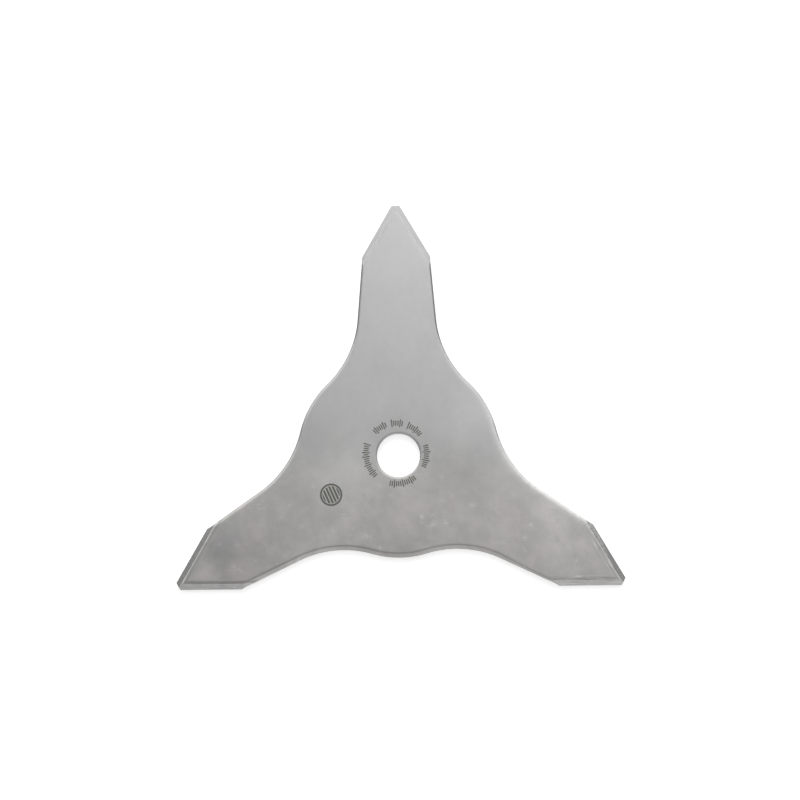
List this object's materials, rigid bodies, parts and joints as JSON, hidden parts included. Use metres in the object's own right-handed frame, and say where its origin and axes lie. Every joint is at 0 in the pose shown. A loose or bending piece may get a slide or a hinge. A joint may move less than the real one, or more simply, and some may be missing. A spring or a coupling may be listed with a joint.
{
  "type": "brush cutter blade",
  "caption": "Flat steel brush cutter blade with pointed, bevel-ground teeth on flared arms around a round hub with a central bore.",
  "frame": {"origin": "on the bore's axis at the underside, which lies on the surface", "axes": "+Z along the bore's axis, up out of the rolled upper face; +Y along one arm; +X along the longest extent"},
  "size_m": [0.2624, 0.2272, 0.004],
  "materials": {
    "steel": "rolled and tumbled grey steel, satin, with ground bevels and fine handling marks"
  },
  "bodies": {
    "root": {"blade": "steel"}
  },
  "joints": []
}
